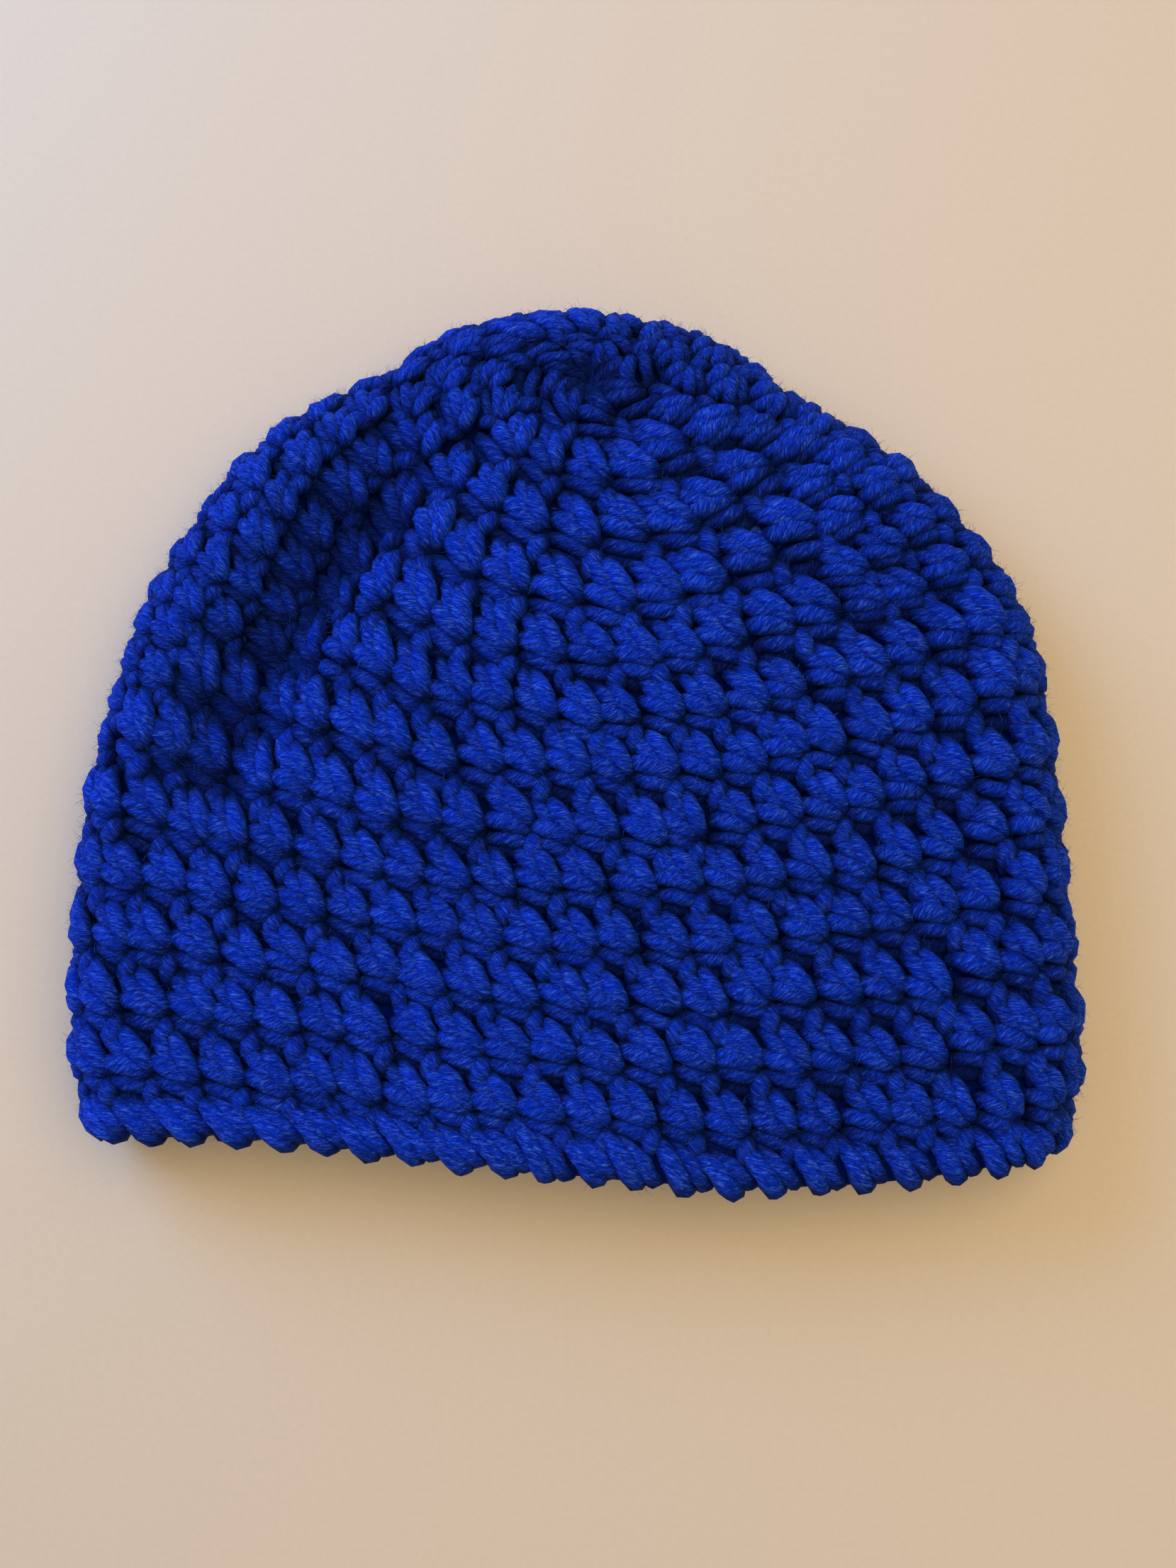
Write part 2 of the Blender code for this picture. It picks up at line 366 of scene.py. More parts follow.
def station_at(rounds):
    """The form's row after any number of rounds, on a smooth curve through all the stations."""
    last = len(FORM) - 1
    place = rounds / (ROUNDS + 1) * FORM[last].place
    index = 0
    while index < last - 1 and FORM[index + 1].place < place:
        index += 1
    start, end = FORM[index], FORM[index + 1]
    before = FORM[max(index - 1, 0)]
    after = FORM[min(index + 2, last)]
    span = end.place - start.place
    share = (place - start.place) / span

    def smooth(column):
        slope_in = (end[column] - before[column]) / (end.place - before.place)
        slope_out = (after[column] - start[column]) / (after.place - start.place)
        rise = end[column] - start[column]
        bend = share * (1 - share)
        ease = share * share * (3 - 2 * share)
        return start[column] + rise * ease + span * bend * ((1 - share) * slope_in - share * slope_out)

    return Station(*(smooth(column) for column in range(len(Station._fields))))


def fold_section(turn, radius_share):
    """Place across (-1 to 1) and height (0 to 1) on a flat loop whose two ends are half circles."""
    half = turn % 0.5 * 2
    corner = math.pi / 2 * radius_share
    run = 2 * corner + 2 * (1 - radius_share)
    along = min(half, 1 - half) * run
    if along < corner:
        angle = along / radius_share
        across = -1 + radius_share * (1 - math.cos(angle))
        height = math.sin(angle)
    else:
        across = -1 + radius_share + along - corner
        height = 1.0
    if half > 0.5:
        across = -across
    if turn % 1.0 >= 0.5:
        across = -across
    return across, height


def sag_lift(x, y):
    """Height that the long sag adds, which is below nought: it follows the nearest place on its line."""
    spot = Vector((x, y))
    nearest = (math.inf, 0.0, 0.0)
    for start, end in zip(SAG, SAG[1:]):
        foot = Vector((start.out * HALF_WIDTH, start.up * HALF_LENGTH))
        run = Vector((end.out * HALF_WIDTH, end.up * HALF_LENGTH)) - foot
        share = min(max((spot - foot).dot(run) / run.length_squared, 0.0), 1.0)
        away = spot - foot - run * share
        side = run.x * away.y - run.y * away.x
        depth = start.depth + (end.depth - start.depth) * share
        nearest = min(nearest, (away.length, side, depth))
    away, side, depth = nearest
    share = min(away / (HALF_WIDTH * (SAG_BANK if side > 0 else SAG_SLOPE)), 1.0)
    return -depth * (0.5 + 0.5 * math.cos(math.pi * share))


def dent_lift(x, y):
    """Height that the sag, the dents and the swells add to the upper layer."""
    lift = sag_lift(x, y)
    for dent in DENTS:
        away = Vector((x - dent.out * HALF_WIDTH, y - dent.up * HALF_LENGTH)).length
        lift += dent.lift * math.exp(-(away / (dent.reach * HALF_WIDTH)) ** 2)
    return lift * THICKNESS


def round_the_loop(side, front, back, swing, profile, folded):
    """Value on a loop from its values at the sides, front and back: an oval's, a flat loop's or between."""
    oval = side + (front - back) / 2 * swing + ((front + back) / 2 - side) * swing ** 2
    layer = front if swing >= 0 else back
    flat = side + (layer - side) * profile
    return oval + (flat - oval) * folded


def outer_face(rounds, turn):
    """Point on the hat's outer face. turn is 0 at the left fold and 0.5 at the right fold."""
    place = station_at(rounds)
    left = Vector((place.left_out * HALF_WIDTH, place.left_up * HALF_LENGTH))
    right = Vector((place.right_out * HALF_WIDTH, place.right_up * HALF_LENGTH))
    half_chord = max((right.x - left.x) / 2, 1e-6)
    middle = (left + right) / 2
    swing = math.sin(math.tau * turn)
    across, height = fold_section(turn, min(1.0, THICKNESS / 2 / half_chord))
    bow = math.cos(math.pi / 2 * across) * (1 + place.skew * across)
    across += (1 - place.folded) * (-math.cos(math.tau * turn) - across)
    x = middle.x + half_chord * across
    y = (right.y - left.y) / 2 * across + round_the_loop(
        middle.y, place.front_up * HALF_LENGTH, place.back_up * HALF_LENGTH, swing, bow, place.folded)
    rise = max(0.0, round_the_loop(place.side_rise, 1.0, place.back_rise, swing, height, place.folded))
    on_top = max(0.0, 2 * rise - 1)
    return Vector((x, y, THICKNESS * rise + dent_lift(x, y) * on_top))


def face_and_normal(rounds, turn):
    """Point on the hat's outer face, and the direction straight out of it."""
    if rounds < SLOPE_STEP_ROUNDS:
        return outer_face(0.0, 0.0), Vector((0.0, 0.0, 1.0))
    along = outer_face(rounds + SLOPE_STEP_ROUNDS, turn) - outer_face(rounds - SLOPE_STEP_ROUNDS, turn)
    around = outer_face(rounds, turn + SLOPE_STEP_TURN) - outer_face(rounds, turn - SLOPE_STEP_TURN)
    return outer_face(rounds, turn), along.cross(around).normalized()


def under_face(rounds, turn, depth):
    """Point at a depth in metres under the outer face."""
    point, out = face_and_normal(rounds, turn)
    return point - out * depth


def even_turns():
    """Turns that part the front and the back into equal lengths, in a row for each half round."""
    rows = []
    for half_rounds in range(2 * (ROUNDS + 1) + 1):
        row = []
        for first in (0.0, 0.5):
            turns = [first + 0.5 * step / TURN_STEPS for step in range(TURN_STEPS + 1)]
            spots = [outer_face(max(half_rounds / 2, CENTRE_TURNS), turn) for turn in turns]
            lengths = np.cumsum([0.0] + [(end - start).length for start, end in zip(spots, spots[1:])])
            shares = np.linspace(0.0, lengths[-1], TURN_STEPS + 1)
            row.append(np.interp(shares, lengths, turns))
        rows.append(row)
    return rows


EVEN_TURNS = even_turns()


def even_turn(rounds, share):
    """Turn at a share of the way round the hat, counted along its face."""
    half = int(share % 1.0 >= 0.5)
    along = (share % 1.0 - 0.5 * half) * 2 * TURN_STEPS
    step = min(int(along), TURN_STEPS - 1)
    place = min(max(rounds * 2, 0.0), 2 * (ROUNDS + 1) - 1e-6)
    low = int(place)
    turns = []
    for row in (EVEN_TURNS[low][half], EVEN_TURNS[low + 1][half]):
        turns.append(row[step] + (row[step + 1] - row[step]) * (along - step))
    return turns[0] + (turns[1] - turns[0]) * (place - low)


def turned_wall(profile, steps, closed):
    """Disc or ring turned from (rounds, height) points, and laid on the folded hat."""
    mesh = bmesh.new()
    angles = [math.tau * step / steps for step in range(steps)]
    rings = []
    for rounds, height in profile:
        if rounds:
            rings.append([mesh.verts.new((rounds * math.cos(angle), rounds * math.sin(angle), height))
                          for angle in angles])
        else:
            rings.append([mesh.verts.new((0.0, 0.0, height))] * steps)
    for ring, following in zip(rings, rings[1:] + rings[:1] if closed else rings[1:]):
        for step in range(steps):
            corners = (ring[step - 1], ring[step], following[step], following[step - 1])
            # The centre is one point of a ring, so faces there have three corners
            mesh.faces.new(list(dict.fromkeys(corners)))
    bmesh.ops.recalc_face_normals(mesh, faces=mesh.faces)
    for corner in mesh.verts:
        rounds = math.hypot(corner.co.x, corner.co.y)
        turn = math.atan2(corner.co.y, corner.co.x) / math.tau % 1.0
        corner.co = under_face(rounds, even_turn(rounds, turn), -corner.co.z)
    mesh.normal_update()
    return mesh


def finished(name, mesh, material):
    """Object from a bmesh, shaded smooth, that rides with the hat and takes its slot's finish."""
    data = bpy.data.meshes.new(name)
    mesh.to_mesh(data)
    mesh.free()
    data.shade_smooth()
    data.materials.append(material)
    piece = bpy.data.objects.new(name, data)
    bpy.context.scene.collection.objects.link(piece)
    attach(piece, "root")
    return piece


def face_tree():
    """Search tree of the hat's outer face, with its normals outwards."""
    mesh = turned_wall([(number * 0.5, 0.0) for number in range(2 * ROUNDS + 3)], FACE_STEPS, False)
    top = max(mesh.faces, key=lambda face: face.calc_center_median().z)
    if top.normal.z < 0:
        bmesh.ops.reverse_faces(mesh, faces=mesh.faces)
    tree = BVHTree.FromBMesh(mesh)
    mesh.free()
    return tree


FACE_TREE = face_tree()


def painted_shade_depth(point):
    """How deep a point lies under the nearer face of the wall, in metres, which sets the yarn's painted
    shade. The upper layer's sags count as a little deeper and its swells as less deep."""
    foot, normal, _, _ = FACE_TREE.find_nearest(point)
    depth = (foot - point).dot(normal)
    on_top = min(max(2 * normal.z - 0.5, 0.0), 1.0)
    # The sag's painted shade: sags count as deeper and swells as less deep
    return min(depth, WALL - depth) - SAG_PAINTED_SHADE * dent_lift(point.x, point.y) * on_top


# One place of a strand on the hat: where it is, and how thick and twisted it is
Knot = namedtuple("Knot", "point radius twist")


def ply_section(name, sides, groove):
    """Closed flat curve: the cross-section of a yarn whose plies stand out between grooves."""
    data = bpy.data.curves.new(name, "CURVE")
    data.dimensions = "2D"
    spline = data.splines.new("POLY")
    spline.points.add(sides - 1)
    for index, point in enumerate(spline.points):
        reach = 1.0 - groove * (index % 2)
        angle = math.tau * index / sides
        point.co = (reach * math.cos(angle), reach * math.sin(angle), 0.0, 1.0)
    spline.use_cyclic_u = True
    section = bpy.data.objects.new(name, data)
    bpy.context.scene.collection.objects.link(section)
    return section


def swept(name, strands, section, spans):
    """Mesh of closed tubes, one for each strand."""
    data = bpy.data.curves.new(name, "CURVE")
    data.dimensions = "3D"
    data.bevel_mode = "OBJECT"
    data.bevel_object = section
    data.use_fill_caps = True
    data.resolution_u = spans
    for strand in strands:
        spline = data.splines.new("BEZIER")
        spline.bezier_points.add(len(strand) - 1)
        for bezier, knot in zip(spline.bezier_points, strand):
            bezier.co = knot.point
            bezier.radius = knot.radius
            bezier.tilt = knot.twist
            bezier.handle_left_type = bezier.handle_right_type = "AUTO"
    curve = bpy.data.objects.new(name, data)
    bpy.context.scene.collection.objects.link(curve)
    graph = bpy.context.evaluated_depsgraph_get()
    tubes = bpy.data.meshes.new_from_object(curve.evaluated_get(graph))
    bpy.data.objects.remove(curve)
    bpy.data.curves.remove(data)
    return tubes


def strand_of_corners(strands, sides, spans):
    """Which strand each face corner is on. The flat ends come first, from the last strand to the
    first, as triangles. The walls follow, from the first strand to the last, as squares."""
    numbers = np.arange(len(strands))
    ends = np.repeat(numbers[::-1], 2 * (sides - 2) * 3)
    walls = np.repeat(numbers, [(len(strand) - 1) * spans * sides * 4 for strand in strands])
    return np.concatenate([ends, walls])


def yarn_piece(name, strands, section, spans, material):
    """Object of many strands of yarn, all kept above the surface that the hat rests on. Its UV map
    runs along each strand from the strand's own whole number, and once round it."""
    tubes = swept(name, strands, section, spans)
    layer = tubes.uv_layers[0].data
    places = np.zeros(len(layer) * 2)
    layer.foreach_get("uv", places)
    owner = strand_of_corners(strands, len(section.data.splines[0].points), spans)
    places[::2] = places[::2].clip(0.0, 1.0) * UV_SPAN + UV_START + owner
    layer.foreach_set("uv", places)
    mesh = bmesh.new()
    mesh.from_mesh(tubes)
    bpy.data.meshes.remove(tubes)
    bmesh.ops.remove_doubles(mesh, verts=mesh.verts, dist=1e-7)
    bmesh.ops.recalc_face_normals(mesh, faces=mesh.faces)
    floor = CAD_BOX[0].z
    for corner in mesh.verts:
        corner.co.z = max(corner.co.z, floor)
    return finished(name, mesh, material)


def mark_painted_shade_depth(piece, thickness):
    """Gives a piece's points the attribute sunk: how deep they lie in the wall, in yarn thicknesses, by
    which the yarn's colour is darkened as painted shade.
    """
    depths = [painted_shade_depth(corner.co) / thickness for corner in piece.data.vertices]
    piece.data.attributes.new("sunk", "FLOAT", "POINT").data.foreach_set("value", depths)


def stitch_strands(pattern, yarn, spot, chance):
    """Strands of one stitch. spot turns a place in the stitch's cell into a point on the hat."""
    stray = yarn.unevenness
    wide = (spot(1.0, 0.5, 0.0) - spot(0.0, 0.5, 0.0)).length / STITCH_WIDTH
    tall = (spot(0.5, 1.0, 0.0) - spot(0.5, 0.0, 0.0)).length / STITCH_HEIGHT
    thickness = yarn.thickness * min(max(math.sqrt(wide * tall), THINNEST), PLUMPEST)
    tilt = chance.gauss(0, TILT_SHARE * stray)
    size = 1 + chance.uniform(-stray, stray)
    shift = Vector((chance.gauss(0, stray), chance.gauss(0, stray * SHIFT_UP_SHARE)))
    rise = chance.uniform(-stray, stray) * RISE_SHARE
    strands = []
    for route in pattern:
        drift = Vector((chance.uniform(-stray, stray), chance.uniform(-stray, stray))) * DRIFT_SHARE
        plump = 1 + chance.uniform(-stray, stray)
        twist = chance.uniform(0, math.tau)
        strand = []
        for index, place in enumerate(route):
            wobble = chance.uniform(-stray, stray)
            across = (place.across - 0.5) * size
            up = (place.up - 0.5 + wobble * WOBBLE_SHARE) * size
            across, up = across - up * tilt, up + across * tilt
            point = spot(0.5 + across + shift.x + drift.x, 0.5 + up + shift.y + drift.y,
                         (place.sunk + rise) * thickness)
            radius = place.plump * plump * (1 + chance.uniform(-stray, stray)) * thickness / 2
            strand.append(Knot(point, radius, twist + index * yarn.twist))
        strands.append(strand)
    return strands


def stitches_in(number):
    """How many stitches a round has."""
    return min(STITCHES, MORE_STITCHES * number)


def sway(rounds, share):
    """How far a round strays from its even height, in rounds. It dies away at the crown and edging."""
    around = Vector((math.cos(share * math.tau), math.sin(share * math.tau), 0)) * SWAY_CIRCLE
    fading = min(rounds / SWAY_FADE_IN, 1.0) * min((ROUNDS - rounds) / SWAY_FADE_OUT, 1.0)
    return SWAY * noise.noise(around + Vector((0, 0, rounds * SWAY_CHANGE))) * fading


def cell_place(number, index, across, up):
    """Rounds and share of the way round the hat, for a place in a stitch's cell."""
    share = (index + across - LEAN * number) / stitches_in(number)
    return max(number - up + sway(number, share), CENTRE_GAP), share


def outer_cells(numbers, first, last):
    """Cells of the outer stitches whose middle lies from the turn first to the turn last, each as its
    round, its place in the round, and the part of the round's height that it takes up."""
    cells = []
    for number in numbers:
        for index in range(stitches_in(number)):
            if not first <= cell_place(number, index, 0.5, 0.5)[1] % 1.0 < last:
                continue
            lower, upper = (under_face(rounds, even_turn(rounds, share), 0.0)
                            for rounds, share in (cell_place(number, index, 0.5, up) for up in (0.0, 1.0)))
            if (upper - lower).length > DOUBLE_HEIGHT * STITCH_HEIGHT:
                cells += [(number, index, 0.5, 1.0), (number, index, 0.0, 0.5)]
            else:
                cells.append((number, index, 0.0, 1.0))
    return cells


def outer_strands(cells, yarn, chance):
    """Strands of the stitches in these cells, on the hat's outer face."""
    strands = []
    for number, index, low, high in cells:
        def spot(across, up, depth):
            rounds, share = cell_place(number, index, across, low + (high - low) * up)
            pull = CROWN_PULL * math.exp(-(rounds / CROWN_PULL_REACH) ** 2)
            return under_face(rounds, even_turn(rounds, share), depth + pull)

        strands += stitch_strands(STITCH, yarn, spot, chance)
    return strands


def inner_strands(yarn, chance):
    """Strands of the inner face, on every round."""
    strands = []
    for number in range(2, ROUNDS + 1):
        count = stitches_in(number)
        for index in range(count):
            def spot(across, up, depth):
                rounds = number - up
                return under_face(rounds, even_turn(rounds, (index + across) / count), WALL - depth)

            strands += stitch_strands(INNER_STITCH, yarn, spot, chance)
    return strands


def edging_strands(yarn, chance):
    """Strands of the last round, which run round the hat's edge."""
    strands = []
    for index in range(STITCHES):
        def spot(across, up, depth):
            rounds = ROUNDS + 1 - up
            return under_face(rounds, even_turn(rounds, (index + across) / STITCHES), depth)

        strands += stitch_strands(EDGING_STITCH, yarn, spot, chance)
    return strands


def out_of_hat(point):
    """Direction straight out of the hat's nearest outer face."""
    return FACE_TREE.find_nearest(point)[1]


def loose_fibre(route, fuzz, chance):
    """Thin curved fibre that stands out of a strand, on the side that faces away from the hat."""
    step = chance.randrange(1, len(route) - 1)
    root = route[step].point.lerp(route[step + 1].point, chance.random())
    out = out_of_hat(root)
    stray = Vector((chance.gauss(0, 1), chance.gauss(0, 1), chance.gauss(0, 1))).normalized()
    lean = (out * FIBRE_OUTWARDS + stray).normalized()
    length = fuzz.length * chance.uniform(*FIBRE_LENGTHS)
    curl = lean.cross(stray).normalized() * length * chance.uniform(*FIBRE_CURLS)
    root = root + lean * route[step].radius * FIBRE_ROOT
    return [Knot(root + lean * length * hair.along + curl * hair.curl, fuzz.thickness * hair.radius, 0.0)
            for hair in FIBRE]


def add_sockets(group, direction, kind, names):
    """Named inputs or outputs of a node group, all of one kind."""
    for name in names:
        group.interface.new_socket(name=name, in_out=direction, socket_type=kind)


def maths(tree, operation, *values):
    """Result of a math node on values that are each a number or a socket."""
    node = tree.nodes.new("ShaderNodeMath")
    node.operation = operation
    for socket, value in zip(node.inputs, values):
        if isinstance(value, (int, float)):
            socket.default_value = value
        else:
            tree.links.new(value, socket)
    return node.outputs["Value"]


def set_inputs(node, values):
    """Gives a node's inputs these values, by name."""
    for name, value in values.items():
        node.inputs[name].default_value = value


def yarn_fibres():
    """Node group for yarn: plies, fine fibres and uneven dye along each strand, with painted shade in the
    grooves and where it is deep, and painted highlights.
    """
    group = bpy.data.node_groups.new("yarn_fibres", "ShaderNodeTree")
    add_sockets(group, "INPUT", "NodeSocketColor", ("Colour", "Painted Highlight Colour"))
    add_sockets(group, "INPUT", "NodeSocketFloat", ("Plies", "Ply Groove Painted Shade", "Fibres Around", "Fibres Along",
                                                    "Fibre Contrast", "Painted Deep Shade", "Painted Highlight"))
    add_sockets(group, "OUTPUT", "NodeSocketColor", ("Colour",))
    add_sockets(group, "OUTPUT", "NodeSocketFloat", ("Height",))
    nodes, links = group.nodes, group.links
    start = nodes.new("NodeGroupInput")
    end = nodes.new("NodeGroupOutput")
    place = nodes.new("ShaderNodeUVMap")
    place.uv_map = "UVMap"
    split = nodes.new("ShaderNodeSeparateXYZ")
    links.new(place.outputs["UV"], split.inputs["Vector"])
    strand = maths(group, "FLOOR", split.outputs["X"])
    along = maths(group, "FRACT", split.outputs["X"])
    angle = maths(group, "MULTIPLY", split.outputs["Y"], math.tau)

    # Crests of the plies, with narrow grooves between them that wander a little along the strand
    bends = nodes.new("ShaderNodeTexNoise")
    bends.noise_dimensions = "4D"
    set_inputs(bends, {"Scale": 1.2, "Detail": 1.0})
    wave = maths(group, "MULTIPLY", angle, start.outputs["Plies"])
    wave = maths(group, "COSINE", maths(group, "MULTIPLY_ADD", bends.outputs["Fac"], PLY_WANDER, wave))
    crest = maths(group, "POWER", maths(group, "MULTIPLY_ADD", wave, 0.5, 0.5), CREST_POWER)

    # Fibres, which run along the plies as stretched noise that closes round the strand
    slanted = maths(group, "ADD", angle, maths(group, "MULTIPLY", along, FIBRE_TURN))
    reach = maths(group, "DIVIDE", start.outputs["Fibres Around"], math.tau)
    joined = nodes.new("ShaderNodeCombineXYZ")
    links.new(maths(group, "MULTIPLY", maths(group, "COSINE", slanted), reach), joined.inputs["X"])
    links.new(maths(group, "MULTIPLY", maths(group, "SINE", slanted), reach), joined.inputs["Y"])
    links.new(maths(group, "MULTIPLY", along, start.outputs["Fibres Along"]), joined.inputs["Z"])
    fine = nodes.new("ShaderNodeTexNoise")
    fine.noise_dimensions = "4D"
    set_inputs(fine, {"Scale": 1.6, "Detail": 3.0, "Roughness": 0.65, "Distortion": 1.0})
    links.new(joined.outputs["Vector"], fine.inputs["Vector"])
    links.new(joined.outputs["Vector"], bends.inputs["Vector"])
    for grain in (fine, bends):
        links.new(maths(group, "MULTIPLY", strand, STRAND_STEP), grain.inputs["W"])
    fibre = nodes.new("ShaderNodeMapRange")
    set_inputs(fibre, {"From Min": 0.3, "From Max": 0.7})
    links.new(fine.outputs["Fac"], fibre.inputs["Value"])

    # Colour: each strand's own dye, blotches and the fibres, then painted shade in the grooves and deep
    # inside
    dye = nodes.new("ShaderNodeTexWhiteNoise")
    dye.noise_dimensions = "1D"
    links.new(strand, dye.inputs["W"])
    gain = maths(group, "MULTIPLY_ADD", dye.outputs["Value"], DYE_SPREAD, DYE_LEAST)
    blotch = maths(group, "MULTIPLY_ADD", bends.outputs["Fac"], BLOTCH_SPREAD, BLOTCH_LEAST)
    gain = maths(group, "MULTIPLY", gain, blotch)
    swing = maths(group, "MULTIPLY", maths(group, "SUBTRACT", fibre.outputs["Result"], 0.5),
                  start.outputs["Fibre Contrast"])
    gain = maths(group, "MULTIPLY", gain, maths(group, "ADD", swing, 1.0))
    # Painted shade in the grooves between the plies
    groove = maths(group, "MULTIPLY", maths(group, "SUBTRACT", 1.0, crest), start.outputs["Ply Groove Painted Shade"])
    gain = maths(group, "MULTIPLY", gain, maths(group, "SUBTRACT", 1.0, groove))
    # Painted shade: the colour darkens the deeper a place lies in the wall
    depth = nodes.new("ShaderNodeAttribute")
    depth.attribute_name = "sunk"
    shade = nodes.new("ShaderNodeMapRange")
    shade.interpolation_type = "SMOOTHSTEP"
    set_inputs(shade, {"From Min": PAINTED_SHADE_START, "From Max": PAINTED_SHADE_FULL, "To Min": 1.0})
    links.new(start.outputs["Painted Deep Shade"], shade.inputs["To Max"])
    links.new(depth.outputs["Fac"], shade.inputs["Value"])
    gain = maths(group, "MULTIPLY", gain, shade.outputs["Result"])
    tint = nodes.new("ShaderNodeVectorMath")
    tint.operation = "SCALE"
    links.new(start.outputs["Colour"], tint.inputs[0])
    links.new(gain, tint.inputs["Scale"])

    # Painted highlights on the brightest fibres, as where they catch the light, weaker in the painted shade
    painted_highlight = nodes.new("ShaderNodeMapRange")
    set_inputs(painted_highlight, {"From Min": PAINTED_HIGHLIGHT_START, "From Max": PAINTED_HIGHLIGHT_FULL})
    links.new(fine.outputs["Fac"], painted_highlight.inputs["Value"])
    share = maths(group, "MULTIPLY", painted_highlight.outputs["Result"], start.outputs["Painted Highlight"])
    share = maths(group, "MULTIPLY", share, shade.outputs["Result"])
    mix = nodes.new("ShaderNodeMix")
    mix.data_type = "RGBA"
    links.new(share, mix.inputs["Factor"])
    links.new(tint.outputs["Vector"], mix.inputs["A"])
    links.new(start.outputs["Painted Highlight Colour"], mix.inputs["B"])
    links.new(mix.outputs["Result"], end.inputs["Colour"])
    raised = maths(group, "MULTIPLY_ADD", fibre.outputs["Result"], FIBRE_HEIGHT, crest)
    links.new(raised, end.inputs["Height"])
    return group


def new_material(name, roughness, specular):
    """Matt material, and its shader."""
    material = bpy.data.materials.new(name)
    material.use_nodes = True
    shader = material.node_tree.nodes["Principled BSDF"]
    set_inputs(shader, {"Roughness": roughness, "Specular IOR Level": specular})
    return material, shader


def add_relief(material, shader, height):
    """Gives a material fine relief from a socket for its height."""
    bump = material.node_tree.nodes.new("ShaderNodeBump")
    set_inputs(bump, {"Strength": RELIEF, "Distance": RELIEF_HEIGHT})
    material.node_tree.links.new(height, bump.inputs["Height"])
    material.node_tree.links.new(bump.outputs["Normal"], shader.inputs["Normal"])


def add_grain(material, shader, colour, shares, scale, detail):
    """Gives a material an uneven colour, between two shares of one colour, and returns the grain."""
    nodes, links = material.node_tree.nodes, material.node_tree.links
    place = nodes.new("ShaderNodeTexCoord")
    grain = nodes.new("ShaderNodeTexNoise")
    set_inputs(grain, {"Scale": scale, "Detail": detail})
    links.new(place.outputs["Object"], grain.inputs["Vector"])
    mix = nodes.new("ShaderNodeMix")
    mix.data_type = "RGBA"
    for name, share in zip("AB", shares):
        mix.inputs[name].default_value = (*(share * part for part in colour), 1.0)
    links.new(grain.outputs["Fac"], mix.inputs["Factor"])
    links.new(mix.outputs["Result"], shader.inputs["Base Color"])
    return grain.outputs["Fac"]


def yarn_material(name, colour, plies=6.0, ply_groove_painted_shade=0.3, fibres=(17.0, 9.0), contrast=1.1, deep=0.17,
                  painted_highlight=0.6):
    """Matt, softly shining dyed yarn, with painted shade and painted highlights. fibres are the counts round
    and along each strand.
    """
    material, shader = new_material(name, roughness=0.7, specular=0.06)
    strand = material.node_tree.nodes.new("ShaderNodeGroup")
    strand.node_tree = bpy.data.node_groups.get("yarn_fibres") or yarn_fibres()
    set_inputs(strand, {
        "Colour": (*colour, 1.0),
        "Plies": plies,
        "Ply Groove Painted Shade": ply_groove_painted_shade,
        "Fibres Around": fibres[0],
        "Fibres Along": fibres[1],
        "Fibre Contrast": contrast,
        "Painted Deep Shade": deep,
        "Painted Highlight Colour": (*PAINTED_HIGHLIGHT_COLOUR, 1.0),
        "Painted Highlight": painted_highlight,
    })
    material.node_tree.links.new(strand.outputs["Colour"], shader.inputs["Base Color"])
    add_relief(material, shader, strand.outputs["Height"])
    set_inputs(shader, {"Sheen Weight": 0.25, "Sheen Roughness": 0.5, "Sheen Tint": (0.01, 0.09, 0.45, 1.0)})
    return material


def painted_shade_core_material(colour):
    """Yarn deep inside the fabric, with uneven dye; its darkness is painted shade."""
    material, shader = new_material("deep_yarn_painted_shade", roughness=0.95, specular=0.05)
    # Painted shade: the core's colour is 0.08 to 0.35 of the dye
    grain = add_grain(material, shader, colour, shares=(0.08, 0.35), scale=900.0, detail=3.0)
    add_relief(material, shader, grain)
    return material


def floor_under(height, colour):
    """Plain pale floor at the height that the hat rests on."""
    mesh = bmesh.new()
    bmesh.ops.create_grid(mesh, x_segments=8, y_segments=8, size=3.0)
    for corner in mesh.verts:
        corner.co.z = height
    data = bpy.data.meshes.new("floor")
    mesh.to_mesh(data)
    mesh.free()
    material, shader = new_material("pale_floor", roughness=0.9, specular=0.1)
    add_grain(material, shader, colour, shares=(0.96, 1.04), scale=700.0, detail=2.0)
    data.materials.append(material)
    floor = bpy.data.objects.new("floor", data)
    bpy.context.scene.collection.objects.link(floor)


def area_light(name, light, power):
    """Soft square light that faces the hat."""
    data = bpy.data.lights.new(name, "AREA")
    data.shape = "SQUARE"
    data.size = light.side
    data.energy = power
    data.color = light.colour
    lamp = bpy.data.objects.new(name, data)
    bpy.context.scene.collection.objects.link(lamp)
    lamp.location = light.place
    lamp.rotation_euler = (-Vector(light.place)).to_track_quat("-Z", "Y").to_euler()


def photo_camera(scene):
    """Camera almost straight above the hat, at the photograph's viewing angle."""
    data = bpy.data.cameras.new("photo_camera")
    data.sensor_fit = "VERTICAL"
    data.sensor_height = FILM_HEIGHT
    data.lens = FILM_HEIGHT * FOCAL_PIXELS / PICTURE_HEIGHT
    data.clip_start = 0.01
    camera = bpy.data.objects.new("photo_camera", data)
    scene.collection.objects.link(camera)
    camera.location = CAMERA_PLACE
    camera.rotation_euler = (math.radians(CAMERA_TILT), 0.0, 0.0)
    scene.camera = camera


